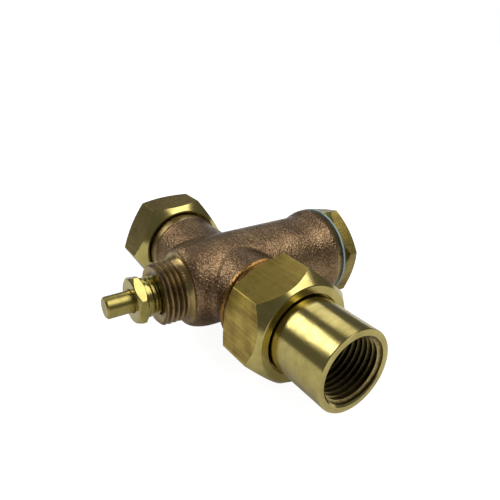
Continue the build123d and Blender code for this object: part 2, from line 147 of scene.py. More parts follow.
TABLE_SIZE = 8.0
TABLE_OWN_WHITE = 0.93
TABLE_LIT_WHITE = 0.35
MIRRORED_OWN_WHITE = 0.10
MIRRORED_LIT_WHITE = 0.78
bpy.ops.mesh.primitive_plane_add(size=TABLE_SIZE, location=(outlet_x * MM, 0, cad_low.z))
table = bpy.context.object
table.name = "table"
table_white = bpy.data.materials.new("matt_white_table")
tree = empty_tree(table_white)
plain = add_node(tree, "ShaderNodeBsdfDiffuse", inputs={"Color": srgb("#e8e8e6")})
whites = []
for own_white, lit_white in (
        (TABLE_OWN_WHITE, TABLE_LIT_WHITE), (MIRRORED_OWN_WHITE, MIRRORED_LIT_WHITE)):
    lit = add_node(tree, "ShaderNodeBsdfDiffuse", inputs={"Color": (lit_white,) * 3 + (1,)})
    own = add_node(tree, "ShaderNodeEmission", inputs={"Strength": own_white})
    whites.append(add_node(tree, "ShaderNodeAddShader", inputs={0: (lit, 0), 1: (own, 0)}))
path = add_node(tree, "ShaderNodeLightPath")
seen = add_node(tree, "ShaderNodeMixShader", inputs={
    0: (path, "Is Glossy Ray"), 1: (whites[0], 0), 2: (whites[1], 0)})
either_way = add_node(tree, "ShaderNodeMixShader", inputs={
    0: (background_ray(tree), 0), 1: (plain, 0), 2: (seen, 0)})
add_node(tree, "ShaderNodeOutputMaterial", inputs={"Surface": (either_way, 0)})
table.data.materials.append(table_white)

WORLD_LIGHT = 0.30
world = bpy.data.worlds.new("white_room")
scene.world = world
tree = empty_tree(world)
room_light = add_node(tree, "ShaderNodeBackground", inputs={
    "Color": (1, 1, 1, 1), "Strength": WORLD_LIGHT})
room_white = add_node(tree, "ShaderNodeBackground", inputs={"Color": (1, 1, 1, 1), "Strength": 1})
room = add_node(tree, "ShaderNodeMixShader", inputs={
    0: (background_ray(tree), 0), 1: (room_light, 0), 2: (room_white, 0)})
add_node(tree, "ShaderNodeOutputWorld", inputs={"Surface": (room, 0)})

# ==== studio ====
# Three soft boxes over the table, in a dark studio. The dark walls are seen only in polished
# metal, where they give the deep bands between the reflections of the soft boxes and the table.
STUDIO_RADIUS = 3.6
STUDIO_DARK = 0.13
bpy.ops.mesh.primitive_uv_sphere_add(segments=48, ring_count=24, radius=STUDIO_RADIUS)
studio = bpy.context.object
studio.name = "studio_walls"
studio.location = (outlet_x * MM, 0, cad_low.z)
studio_dark = bpy.data.materials.new("dark_studio_cloth")
tree = empty_tree(studio_dark)
cloth = add_node(tree, "ShaderNodeEmission", inputs={"Strength": STUDIO_DARK})
add_node(tree, "ShaderNodeOutputMaterial", inputs={"Surface": (cloth, 0)})
studio.data.materials.append(studio_dark)
studio.visible_camera = False
studio.visible_diffuse = False
studio.visible_shadow = False
studio.visible_transmission = False
studio.visible_volume_scatter = False


LAMP_DISTANCE = 2.4


def soft_box(name, azimuth, elevation, width, height, radiance):
    """A square lamp that faces the valve; radiance 1 looks white in a mirror."""
    lamp = bpy.data.lights.new(name, "AREA")
    lamp.shape = "RECTANGLE"
    lamp.size = width
    lamp.size_y = height
    lamp.energy = radiance * math.pi * width * height
    box = bpy.data.objects.new(name, lamp)
    scene.collection.objects.link(box)
    away = direction(azimuth, elevation)
    box.location = Vector((outlet_x * MM, 0, 0)) + away * LAMP_DISTANCE
    box.rotation_mode = "QUATERNION"
    box.rotation_quaternion = away.to_track_quat("Z", "Y")
    box.visible_camera = False


soft_box("soft_box_back_left", -148, 39, 1.08, 1.26, 3.6)
soft_box("soft_box_back_right", 146, 42, 1.02, 1.08, 1.25)
soft_box("soft_box_overhead", 45, 63, 1.86, 1.68, 2.6)


# ==== valve body ====
# One sand casting in gunmetal bronze, shot-blasted, with its threads, faces and bores turned
# bright. It carries everything else; the union and spigot threads are cut as real helices.
MERGE = 0.001 * MM
STEPS_A_TURN = 72
CUTTER_PROUD = 0.4
THREAD_MOUTH = 7 / 16
BARREL_CENTRE = (0, 0, 0)


def turned_piece(name, outline, axis, centre=BARREL_CENTRE, steps=2 * STEPS_A_TURN):
    """A turned solid. The outline, (along, radius) points, is drawn and spun about the axis."""
    along = Vector(axis)
    points = [(Vector(centre) + along * a + Vector((0, 0, 1)) * r) * MM for a, r in outline]
    closed = min(r for a, r in outline) > 0
    bpy.ops.mesh.primitive_plane_add(size=MM)
    piece = bpy.context.object
    piece.name = name
    bpy.ops.object.mode_set(mode="EDIT")
    bpy.ops.mesh.merge(type="CENTER")
    bpy.ops.transform.translate(value=points[0])
    for here, there in zip(points, points[1:] + (points[:1] if closed else [])):
        bpy.ops.mesh.extrude_region_move(TRANSFORM_OT_translate={"value": there - here})
    bpy.ops.mesh.select_all(action="SELECT")
    bpy.ops.mesh.remove_doubles(threshold=MERGE)
    bpy.ops.mesh.spin(
        steps=steps, angle=math.tau, center=Vector(centre) * MM, axis=along, use_auto_merge=True)
    bpy.ops.mesh.select_all(action="SELECT")
    bpy.ops.mesh.remove_doubles(threshold=MERGE)
    bpy.ops.mesh.normals_make_consistent(inside=False)
    bpy.ops.object.mode_set(mode="OBJECT")
    return piece


def combine(piece, tool, operation):
    """Cut, join or intersect a piece with a tool, which is used up."""
    modifier = piece.modifiers.new("combine", "BOOLEAN")
    modifier.operation = operation
    modifier.solver = "EXACT"
    modifier.object = tool
    bpy.ops.object.select_all(action="DESELECT")
    bpy.context.view_layer.objects.active = piece
    piece.select_set(True)
    bpy.ops.object.modifier_apply(modifier=modifier.name)
    bpy.data.objects.remove(tool)


def sweep_helix(outline, axis_name, length, turns, sides):
    """Sweep a closed outline round the axis through its object, and close both ends."""
    sweep = outline.modifiers.new("sweep", "SCREW")
    sweep.axis = axis_name
    sweep.angle = math.tau * turns
    sweep.screw_offset = length * MM
    sweep.iterations = 1
    sweep.steps = round(turns * STEPS_A_TURN)
    sweep.render_steps = sweep.steps
    bpy.ops.object.modifier_apply(modifier=sweep.name)
    bpy.ops.object.transform_apply(location=True)
    bpy.ops.object.mode_set(mode="EDIT")
    bpy.ops.mesh.select_mode(type="EDGE")
    bpy.ops.mesh.select_all(action="DESELECT")
    bpy.ops.mesh.select_non_manifold(
        extend=False, use_wire=False, use_boundary=True, use_multi_face=False,
        use_non_contiguous=False, use_verts=False)
    bpy.ops.mesh.fill_holes(sides=sides)
    bpy.ops.mesh.select_all(action="SELECT")
    bpy.ops.mesh.normals_make_consistent(inside=False)
    bpy.ops.mesh.select_mode(type="VERT")
    bpy.ops.object.mode_set(mode="OBJECT")


def thread_tool(axis_name, centre, start, length, pitch, crest_r, root_r, flank):
    """Solid that a thread cutter sweeps: a right-hand V groove from crest_r to root_r."""
    depth = abs(crest_r - root_r)
    past = crest_r + math.copysign(CUTTER_PROUD, crest_r - root_r)
    half_mouth = pitch * THREAD_MOUTH
    half_root = half_mouth - depth * math.tan(math.radians(flank))
    section = [
        (-half_mouth, past), (half_mouth, past), (half_mouth, crest_r),
        (half_root, root_r), (-half_root, root_r), (-half_mouth, crest_r),
    ]
    along = Vector((1, 0, 0)) if axis_name == "X" else Vector((0, 1, 0))
    points = [(along * a + Vector((0, 0, -1)) * r) * MM for a, r in section]
    bpy.ops.mesh.primitive_plane_add(size=MM)
    tool = bpy.context.object
    bpy.ops.object.mode_set(mode="EDIT")
    bpy.ops.mesh.merge(type="CENTER")
    bpy.ops.transform.translate(value=points[0])
    for here, there in zip(points, points[1:] + points[:1]):
        bpy.ops.mesh.extrude_region_move(TRANSFORM_OT_translate={"value": there - here})
    bpy.ops.mesh.select_all(action="SELECT")
    bpy.ops.mesh.remove_doubles(threshold=MERGE)
    bpy.ops.object.mode_set(mode="OBJECT")
    tool.location = (Vector(centre) + along * start) * MM
    sweep_helix(tool, axis_name, length, length / pitch, len(section))
    return tool


def settle_shading(piece, angle):
    """Smooth shading below an angle, with large faces kept flat."""
    bpy.ops.object.select_all(action="DESELECT")
    bpy.context.view_layer.objects.active = piece
    piece.select_set(True)
    bpy.ops.object.shade_smooth_by_angle(angle=math.radians(angle))
    weigh = piece.modifiers.new("weigh", "WEIGHTED_NORMAL")
    weigh.keep_sharp = True
    weigh.weight = 100
    bpy.ops.object.modifier_apply(modifier=weigh.name)


def split_finish(piece, materials, choose):
    """Give each face the material that choose(centre in mm, normal) names by its number."""
    piece.data.materials.clear()
    for material in materials:
        piece.data.materials.append(material)
    for face in piece.data.polygons:
        face.material_index = choose(face.center / MM, face.normal)


def metal(name, base, dark, roughness, grain, coat=0.0):
    """A bare metal. Its grain(tree) returns the colour mix, a height, and the relief in mm.

    The roughness pair is for the bright and the dark parts of the mix.
    """
    material = bpy.data.materials.new(name)
    tree = empty_tree(material)
    mix, height, bump_mm = grain(tree)
    colour = add_node(tree, "ShaderNodeMix", data_type="RGBA", inputs={
        "Factor": mix, 6: srgb(dark), 7: srgb(base)})
    rough = add_node(tree, "ShaderNodeMapRange", inputs={
        "Value": mix, "To Min": roughness[1], "To Max": roughness[0]})
    bump = add_node(tree, "ShaderNodeBump", inputs={
        "Height": height, "Distance": bump_mm * MM, "Strength": 1})
    shader = add_node(tree, "ShaderNodeBsdfPrincipled", inputs={
        "Base Color": (colour, 2), "Metallic": 1, "Roughness": (rough, 0), "Normal": (bump, 0)})
    if coat:
        shader.inputs["Coat Weight"].default_value = coat
        shader.inputs["Coat Roughness"].default_value = 0.15
    add_node(tree, "ShaderNodeOutputMaterial", inputs={"Surface": (shader, 0)})
    return material


def cast_grain(tree):
    """Shot-blasted sand casting: pits and peaks on broad stains.

    The real pits are about 0.3 mm across, and are drawn at 0.75 mm so that they show.
    """
    place = add_node(tree, "ShaderNodeTexCoord")
    peaks = add_node(tree, "ShaderNodeTexNoise", inputs={
        "Vector": (place, "Object"), "Scale": 1 / (0.75 * MM), "Detail": 4, "Roughness": 0.65})
    pits = add_node(tree, "ShaderNodeTexVoronoi", inputs={
        "Vector": (place, "Object"), "Scale": 1 / (0.75 * MM)})
    stains = add_node(tree, "ShaderNodeTexNoise", inputs={
        "Vector": (place, "Object"), "Scale": 1 / (9 * MM), "Detail": 4})
    height = add_node(tree, "ShaderNodeMath", operation="MULTIPLY_ADD", inputs={
        0: (pits, "Distance"), 1: 0.5, 2: (peaks, "Fac")})
    mixed = add_node(tree, "ShaderNodeMath", operation="MULTIPLY_ADD", inputs={
        0: (peaks, "Fac"), 1: 1.6, 2: (stains, "Fac")})
    shown = add_node(tree, "ShaderNodeMapRange", inputs={
        "Value": (mixed, 0), "From Min": 1.0, "From Max": 1.6})
    return (shown, 0), (height, 0), 0.22


def place_about(tree, axis, centre):
    """The place from the centre in metres, and its distance from the axis."""
    place = add_node(tree, "ShaderNodeTexCoord")
    moved = add_node(tree, "ShaderNodeVectorMath", operation="SUBTRACT", inputs={
        0: (place, "Object"), 1: Vector(centre) * MM})
    keep = (0, 1, 1) if axis == "X" else (1, 0, 1)
    radial = add_node(tree, "ShaderNodeVectorMath", operation="MULTIPLY", inputs={
        0: (moved, 0), 1: keep})
    radius = add_node(tree, "ShaderNodeVectorMath", operation="LENGTH", inputs={0: (radial, 0)})
    return moved, radius


def thread_grain(axis, centre, crest_r, root_r):
    """A cut thread: lighter on its crests and darker towards its roots, where the dark is painted
    shade in the grooves.
    """
    def grain(tree):
        moved, radius = place_about(tree, axis, centre)
        shade_by_depth = add_node(tree, "ShaderNodeMapRange", inputs={
            "Value": (radius, "Value"), "From Min": root_r * MM, "From Max": crest_r * MM})
        rubbed = add_node(tree, "ShaderNodeTexNoise", inputs={
            "Vector": (moved, 0), "Scale": 1 / (1.2 * MM), "Detail": 3})
        mixed = add_node(tree, "ShaderNodeMath", operation="ADD", inputs={
            0: (shade_by_depth, 0), 1: (rubbed, "Fac")})
        shown = add_node(tree, "ShaderNodeMapRange", inputs={
            "Value": (mixed, 0), "From Min": 0.65, "From Max": 1.4})
        return (shown, 0), (rubbed, "Fac"), 0.03
    return grain


def turned_grain(axis, centre=BARREL_CENTRE):
    """Turning marks: rings round the axis that change along it and with the radius.

    The real feed is about 0.1 mm a turn, and is drawn at 0.22 mm so that it shows.
    """
    def grain(tree):
        moved, radius = place_about(tree, axis, centre)
        apart = add_node(tree, "ShaderNodeSeparateXYZ", inputs={0: (moved, 0)})
        pair = add_node(tree, "ShaderNodeCombineXYZ", inputs={
            0: (apart, axis), 1: (radius, "Value")})
        rings = add_node(tree, "ShaderNodeTexNoise", inputs={
            "Vector": (pair, 0), "Scale": 1 / (0.22 * MM), "Detail": 2})
        handled = add_node(tree, "ShaderNodeTexNoise", inputs={
            "Vector": (moved, 0), "Scale": 1 / (5 * MM), "Detail": 5, "Roughness": 0.6})
        mixed = add_node(tree, "ShaderNodeMath", operation="MULTIPLY_ADD", inputs={
            0: (rings, "Fac"), 1: 0.5, 2: (handled, "Fac")})
        shown = add_node(tree, "ShaderNodeMapRange", inputs={
            "Value": (mixed, 0), "From Min": 0.5, "From Max": 0.95})
        return (shown, 0), (rings, "Fac"), 0.006
    return grain


SPIGOT_PITCH = 1.814
SPIGOT_R = 10.48
SPIGOT_LENGTH = 9.2
PIPE_DEPTH = 1.1
PIPE_FLANK = 27.5
UNION_PITCH = 1.5
UNION_R = 14.9
UNION_LENGTH = 14.2
METRIC_DEPTH = 0.9
METRIC_FLANK = 30.0
COLLAR_Y = 25.3
LAND_LENGTH = 2.7
LAND_R = 16.4
BORE_R = 13.3
BORE_REACH = 13.2
PORT_R = 8.2
PORT_MACHINED_FROM = 14
NEAR = 0.05

body_low, body_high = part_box("valve_body")
washer_low, washer_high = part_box("inlet_washer")
inlet_centre = ((washer_low.x + washer_high.x) / 2 / MM, 0, 0)
spigot_tip = body_low.x / MM
shoulder_x = spigot_tip + SPIGOT_LENGTH
branch_end = body_low.y / MM
branch_start = branch_end + UNION_LENGTH
flange_x = body_high.x / MM
land_x = flange_x - LAND_LENGTH

# Cast gunmetal: a brown, sandy skin with a broken satin shine.
gunmetal_cast = metal(
    "sand_cast_gunmetal_shot_blasted", "#a88a66", "#654f3b", (0.21, 0.35), cast_grain)
# Turned gunmetal: yellower than the skin, with fine rings and a soft shine.
gunmetal_turned = metal(
    "turned_gunmetal", "#b39c62", "#84704a", (0.26, 0.40), turned_grain("X"))
# Threaded gunmetal: lighter lines on the crests over dull brown roots darkened with painted shade.
# The union thread is redder, and darker with painted shade under the nut.
spigot_thread = metal(
    "threaded_gunmetal_spigot", "#a58e5e", "#66523a", (0.30, 0.46),
    thread_grain("X", BARREL_CENTRE, SPIGOT_R, SPIGOT_R - PIPE_DEPTH))
union_thread = metal(
    "threaded_gunmetal_union", "#97713f", "#3e2b18", (0.30, 0.50),
    thread_grain("Y", outlet_centre, UNION_R, UNION_R - METRIC_DEPTH))

body = nodes["valve_body"].copy()
body.data = body.data.copy()
body.parent = None
body.name = "gunmetal_body"
scene.collection.objects.link(body)
bpy.ops.object.select_all(action="DESELECT")
bpy.context.view_layer.objects.active = body
body.select_set(True)
bpy.ops.object.mode_set(mode="EDIT")
bpy.ops.mesh.select_all(action="SELECT")
bpy.ops.mesh.remove_doubles(threshold=MERGE)
bpy.ops.object.mode_set(mode="OBJECT")
combine(body, thread_tool(
    "X", BARREL_CENTRE, spigot_tip - SPIGOT_PITCH, SPIGOT_LENGTH, SPIGOT_PITCH,
    SPIGOT_R, SPIGOT_R - PIPE_DEPTH, PIPE_FLANK), "DIFFERENCE")
combine(body, thread_tool(
    "Y", outlet_centre, branch_end - UNION_PITCH, UNION_LENGTH + 1, UNION_PITCH,
    UNION_R, UNION_R - METRIC_DEPTH, METRIC_FLANK), "DIFFERENCE")


def body_finish(place, normal):
    """0 for the cast skin, 1 for what was turned after casting, 2 and 3 for its threads."""
    from_barrel = math.hypot(place.y, place.z)
    from_outlet = math.hypot(place.x - outlet_x, place.z)
    from_inlet = math.hypot(place.x - inlet_centre[0], place.z)
    inward = normal.y * place.y + normal.z * place.z < 0
    if spigot_tip + NEAR < place.x < shoulder_x - 1 and from_barrel > SPIGOT_R - 1.4:
        return 2
    if branch_end + NEAR < place.y < branch_start - 0.3 and from_outlet > UNION_R - 1.2:
        return 3
    turned = (
        place.x < shoulder_x + NEAR or place.x > flange_x - NEAR
        or place.y < branch_start + NEAR or place.y > COLLAR_Y - NEAR
        or (place.x > land_x - NEAR and from_barrel < LAND_R + NEAR)
        or (inward and from_barrel < BORE_R and abs(place.y) < BORE_REACH)
        or (min(from_outlet, from_inlet) < PORT_R and abs(place.y) > PORT_MACHINED_FROM)
    )
    return 1 if turned else 0


split_finish(
    body, [gunmetal_cast, gunmetal_turned, spigot_thread, union_thread], body_finish)
settle_shading(body, 32)
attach(body, "body")
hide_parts("valve_body")


# ==== union nuts ====
# Two hexagon nuts in drawn brass bar, turned inside and on both chamfers. The outlet nut pulls
# the tailpiece on to its gasket; the inlet nut swivels on the neck's split ring.
LINE_STRETCH = 0.04
HEXAGON_CORNER = 1 / math.cos(math.radians(30))


def bar_grain(axis):
    """Drawn and milled bar: fine lines along the axis and a faint stain between them.

    The real lines are about 0.2 mm apart, and are drawn at 0.7 mm so that they show.
    """
    def grain(tree):
        place = add_node(tree, "ShaderNodeTexCoord")
        stretch = (LINE_STRETCH, 1, 1) if axis == "X" else (1, LINE_STRETCH, 1)
        lines_place = add_node(tree, "ShaderNodeMapping", inputs={
            "Vector": (place, "Object"), "Scale": stretch})
        lines = add_node(tree, "ShaderNodeTexNoise", inputs={
            "Vector": (lines_place, 0), "Scale": 1 / (0.7 * MM), "Detail": 4, "Roughness": 0.65})
        stains = add_node(tree, "ShaderNodeTexNoise", inputs={
            "Vector": (place, "Object"), "Scale": 1 / (6 * MM), "Detail": 4})
        mixed = add_node(tree, "ShaderNodeMath", operation="ADD", inputs={
            0: (lines, "Fac"), 1: (stains, "Fac")})
        shown = add_node(tree, "ShaderNodeMapRange", inputs={
            "Value": (mixed, 0), "From Min": 0.75, "From Max": 1.25})
        return (shown, 0), (lines, "Fac"), 0.02
    return grain


def hexagon_bar(name, axis_name, centre, low, high, across_flats, turn, round_off):
    """Six-sided bar with its long edges rounded; turn is the angle of a flat round the axis."""
    corner_r = across_flats / 2 * HEXAGON_CORNER
    bpy.ops.mesh.primitive_cylinder_add(vertices=6, radius=corner_r * MM, depth=(high - low) * MM)
    bar = bpy.context.object
    bar.name = name
    bpy.ops.object.mode_set(mode="EDIT")
    bpy.ops.mesh.select_mode(type="EDGE")
    bpy.ops.mesh.select_all(action="DESELECT")
    bpy.ops.object.mode_set(mode="OBJECT")
    for edge in bar.data.edges:
        ends = [bar.data.vertices[i].co for i in edge.vertices]
        edge.select = abs(ends[0].z - ends[1].z) > MM
    bpy.ops.object.mode_set(mode="EDIT")
    bpy.ops.mesh.bevel(offset=round_off * MM, segments=3, affect="EDGES")
    bpy.ops.mesh.select_mode(type="VERT")
    bpy.ops.object.mode_set(mode="OBJECT")
    along = Vector((1, 0, 0)) if axis_name == "X" else Vector((0, 1, 0))
    if axis_name == "X":
        lie = Matrix(((0, 0, 1), (1, 0, 0), (0, 1, 0))).to_4x4()
    else:
        lie = Matrix.Rotation(math.radians(90), 4, "X")
    middle = (Vector(centre) + along * (low + high) / 2) * MM
    corner = math.radians(turn - 30)
    bar.matrix_world = Matrix.Translation(middle) @ lie @ Matrix.Rotation(corner, 4, "Z")
    bpy.ops.object.transform_apply(location=True, rotation=True, scale=True)
    return bar


def hexagon_finish(axis_name, centre, across_flats):
    """0 on the flats of the bar, 1 on what was turned."""
    def choose(place, normal):
        outward = place - Vector(centre)
        outward["XY".index(axis_name)] = 0
        flat = abs(normal["XY".index(axis_name)]) < 0.05
        return 0 if flat and outward.length > across_flats / 2 - 0.1 else 1
    return choose


NUT_FLATS = 33.0
NUT_CORNER_R = NUT_FLATS / 2 * HEXAGON_CORNER
NUT_CLEAR_R = 21
NUT_ROUND_OFF = 0.25
BACK_CHAMFER = 2.2
# Drawn brass bar: dull gold flats with fine lines.
brass_bar_y = metal("drawn_brass_bar", "#c0a856", "#8a7537", (0.26, 0.42), bar_grain("Y"))
# The same bar after years of handling: browner and a little smoother.
brass_bar_handled = metal(
    "drawn_brass_bar_handled", "#a59048", "#75642f", (0.24, 0.38), bar_grain("Y"))
# Turned brass: pale gold, nearly a mirror, with faint rings.
brass_turned_y = metal(
    "turned_brass", "#c9ba74", "#ad9d5a", (0.15, 0.25), turned_grain("Y", outlet_centre), coat=0.1)

OUTLET_NUT_TURN = 80
OUTLET_FRONT_CHAMFER = 4.5
OUTLET_THREAD_R = 15.0
OUTLET_HOLE_R = 12.95
COLLAR_INNER_Y = -40.2
nut_low, nut_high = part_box("outlet_nut")
nut_face = nut_low.y / MM
nut_back = nut_high.y / MM
outlet_nut = turned_piece("outlet_union_nut", [
    (nut_face, 13.1), (nut_face, 15.35), (nut_face + 0.15, 15.6),
    (nut_face + OUTLET_FRONT_CHAMFER, NUT_CORNER_R), (nut_face + OUTLET_FRONT_CHAMFER, NUT_CLEAR_R),
    (nut_back - BACK_CHAMFER, NUT_CLEAR_R), (nut_back - BACK_CHAMFER, NUT_CORNER_R),
    (nut_back - 0.1, 16.0), (nut_back, 15.8), (nut_back, 15.5),
    (nut_back - 0.5, OUTLET_THREAD_R), (COLLAR_INNER_Y, OUTLET_THREAD_R),
    (COLLAR_INNER_Y, OUTLET_HOLE_R), (nut_face + 0.15, OUTLET_HOLE_R),
], (0, 1, 0), outlet_centre)
combine(outlet_nut, hexagon_bar(
    "bar", "Y", outlet_centre, nut_face - 1, nut_back + 1, NUT_FLATS, OUTLET_NUT_TURN,
    NUT_ROUND_OFF), "INTERSECT")
split_finish(
    outlet_nut, [brass_bar_y, brass_turned_y], hexagon_finish("Y", outlet_centre, NUT_FLATS))
settle_shading(outlet_nut, 15)
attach(outlet_nut, "outlet_nut")
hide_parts("outlet_nut")

INLET_NUT_TURN = 62.9
INLET_FRONT_CHAMFER = 3.6
INLET_THREAD_R = 14.19
INLET_THREAD_LENGTH = 8.0
INLET_HOLE_R = 14.15
RING_ROOM_R = 15.1
COLLAR_LENGTH = 3.5
swivel_low, swivel_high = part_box("inlet_nut")
swivel_face = swivel_low.y / MM
swivel_mouth = swivel_high.y / MM
washer_end = washer_high.y / MM
inlet_nut = turned_piece("inlet_swivel_nut", [
    (swivel_face, 14.3), (swivel_face, 14.85), (swivel_face + 0.1, 15.0),
    (swivel_face + INLET_FRONT_CHAMFER, NUT_CORNER_R),
    (swivel_face + INLET_FRONT_CHAMFER, NUT_CLEAR_R),
    (swivel_mouth - BACK_CHAMFER, NUT_CLEAR_R), (swivel_mouth - BACK_CHAMFER, NUT_CORNER_R),
    (swivel_mouth - 0.1, 16.0), (swivel_mouth, 15.85), (swivel_mouth, 15.1),
    (swivel_mouth - 0.9, INLET_THREAD_R), (washer_end, INLET_THREAD_R),
    (washer_end, RING_ROOM_R), (swivel_face + COLLAR_LENGTH, RING_ROOM_R),
    (swivel_face + COLLAR_LENGTH, INLET_HOLE_R), (swivel_face + 0.15, INLET_HOLE_R),
], (0, 1, 0), inlet_centre)
combine(inlet_nut, hexagon_bar(
    "bar", "Y", inlet_centre, swivel_face - 1, swivel_mouth + 1, NUT_FLATS, INLET_NUT_TURN,
    NUT_ROUND_OFF), "INTERSECT")
combine(inlet_nut, thread_tool(
    "Y", inlet_centre, washer_end + 0.9, INLET_THREAD_LENGTH, UNION_PITCH,
    INLET_THREAD_R, INLET_THREAD_R + METRIC_DEPTH, METRIC_FLANK), "DIFFERENCE")
split_finish(
    inlet_nut, [brass_bar_handled, brass_turned_y], hexagon_finish("Y", inlet_centre, NUT_FLATS))
settle_shading(inlet_nut, 15)
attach(inlet_nut, "inlet_nut")
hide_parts("inlet_nut")

# ==== outlet tailpiece ====
# A turned brass tube with a flange that the union nut pulls, and a pipe thread in its mouth.
# The outside and the end face are turned bright.
TAIL_R = 12.4
TAIL_FLANGE_R = 14.0
TAIL_FLANGE_LENGTH = 3.5
TAIL_THREAD_R = 9.32
TAIL_THREAD_END = 17.2
COUNTERSINK_R = 10.55
COUNTERSINK_LENGTH = 1.2
TAIL_BORE_R = 8.0
TAIL_EDGE = 0.4
tail_mouth = tail_low.y / MM
tail_back = tail_high.y / MM
# Tapped brass: lighter lines on the crests, and brown between them darkened with painted shade.
tapped_brass = metal(
    "tapped_brass", "#b7a56c", "#5a492b", (0.30, 0.45),
    thread_grain("Y", outlet_centre, TAIL_THREAD_R, TAIL_THREAD_R + PIPE_DEPTH))
tailpiece = turned_piece("outlet_tailpiece_tube", [
    (tail_mouth, COUNTERSINK_R), (tail_mouth, TAIL_R - TAIL_EDGE),
    (tail_mouth + 0.12, TAIL_R - 0.12), (tail_mouth + TAIL_EDGE, TAIL_R),
    (tail_back - TAIL_FLANGE_LENGTH - 0.1, TAIL_R),
    (tail_back - TAIL_FLANGE_LENGTH, TAIL_R + 0.1),
    (tail_back - TAIL_FLANGE_LENGTH, TAIL_FLANGE_R), (tail_back, TAIL_FLANGE_R),
    (tail_back, TAIL_BORE_R), (tail_mouth + TAIL_THREAD_END, TAIL_BORE_R),
    (tail_mouth + TAIL_THREAD_END, TAIL_THREAD_R),
    (tail_mouth + COUNTERSINK_LENGTH, TAIL_THREAD_R),
], (0, 1, 0), outlet_centre)
combine(tailpiece, thread_tool(
    "Y", outlet_centre, tail_mouth - 1, 17.0, SPIGOT_PITCH,
    TAIL_THREAD_R, TAIL_THREAD_R + PIPE_DEPTH, PIPE_FLANK), "DIFFERENCE")


def tailpiece_finish(place, normal):
    """0 on the turned outside and faces, 1 in the tapped mouth and the bore."""
    inside = math.hypot(place.x - outlet_x, place.z) < TAIL_THREAD_R + 1.2
    return 1 if inside and place.y > tail_mouth + TAIL_EDGE else 0


split_finish(tailpiece, [brass_turned_y, tapped_brass], tailpiece_finish)
settle_shading(tailpiece, 25)
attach(tailpiece, "tailpiece")
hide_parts("outlet_tailpiece")

# ==== gland nut ====
# A small hexagon gland nut in polished brass. Its thread runs into the spigot and its bore
# passes the stem; tightening it presses the packing.
def finish_in(piece, material):
    """Put the whole piece in one material."""
    piece.data.materials.clear()
    piece.data.materials.append(material)


GLAND_PITCH = 1.337
GLAND_FLATS = 14.5
GLAND_CORNER_R = GLAND_FLATS / 2 * HEXAGON_CORNER
GLAND_CLEAR_R = 9.5
GLAND_TURN = 37.5
GLAND_ROUND_OFF = 0.15
GLAND_HEAD = 3.5
GLAND_CHAMFER = 1.15
GLAND_FACE_R = 6.95
GLAND_THREAD_R = 6.55
GLAND_THREAD_LENGTH = 8.5
GLAND_SOCKET_R = 4.95
GLAND_SOCKET_LENGTH = 3.5
GLAND_HOLE_R = 3.85
gland_low, gland_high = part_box("gland_nut")
gland_face = gland_low.x / MM
gland_back = gland_face + GLAND_HEAD
gland_tip = gland_high.x / MM
# Polished brass: pale gold with a soft mirror and faint rings.
brass_turned_x = metal(
    "polished_brass", "#bcb068", "#9d9050", (0.20, 0.32), turned_grain("X"), coat=0.1)
gland = turned_piece("gland_nut_polished", [
    (gland_face, GLAND_HOLE_R + 0.3), (gland_face, GLAND_FACE_R),
    (gland_face + 0.1, GLAND_FACE_R + 0.15),
    (gland_face + GLAND_CHAMFER, GLAND_CORNER_R), (gland_face + GLAND_CHAMFER, GLAND_CLEAR_R),
    (gland_back - GLAND_CHAMFER, GLAND_CLEAR_R), (gland_back - GLAND_CHAMFER, GLAND_CORNER_R),
    (gland_back - 0.1, GLAND_FACE_R + 0.15), (gland_back, GLAND_FACE_R),
    (gland_back, GLAND_THREAD_R), (gland_tip - 0.6, GLAND_THREAD_R),
    (gland_tip, GLAND_THREAD_R - 0.6), (gland_tip, GLAND_SOCKET_R),
    (gland_tip - GLAND_SOCKET_LENGTH, GLAND_SOCKET_R),
    (gland_tip - GLAND_SOCKET_LENGTH, GLAND_HOLE_R), (gland_face + 0.3, GLAND_HOLE_R),
], (1, 0, 0))
combine(gland, hexagon_bar(
    "bar", "X", BARREL_CENTRE, gland_face - 1, gland_tip + 1, GLAND_FLATS, GLAND_TURN,
    GLAND_ROUND_OFF), "INTERSECT")
combine(gland, thread_tool(
    "X", BARREL_CENTRE, gland_back + 0.8, GLAND_THREAD_LENGTH, GLAND_PITCH,
    GLAND_THREAD_R, GLAND_THREAD_R - 0.8, PIPE_FLANK), "DIFFERENCE")
settle_shading(gland, 15)
finish_in(gland, brass_turned_x)
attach(gland, "gland_nut")
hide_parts("gland_nut")

# ==== end cap ====
# A hexagon cap in drawn brass bar, screwed into the barrel's end. It closes the valve and holds
# the spring.
CAP_FLATS = 31.0
CAP_CORNER_R = CAP_FLATS / 2 * HEXAGON_CORNER
CAP_CLEAR_R = 20
CAP_TURN = 45
CAP_HEAD = 6.2
CAP_CHAMFER = 1.6
CAP_THREAD_R = 13.0
CAP_POCKET_R = 10.3
CAP_POCKET_FLOOR = -4.4
cap_low, cap_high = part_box("end_cap")
cap_end = cap_high.x / MM
cap_face = cap_end - CAP_HEAD
cap_tip = cap_low.x / MM
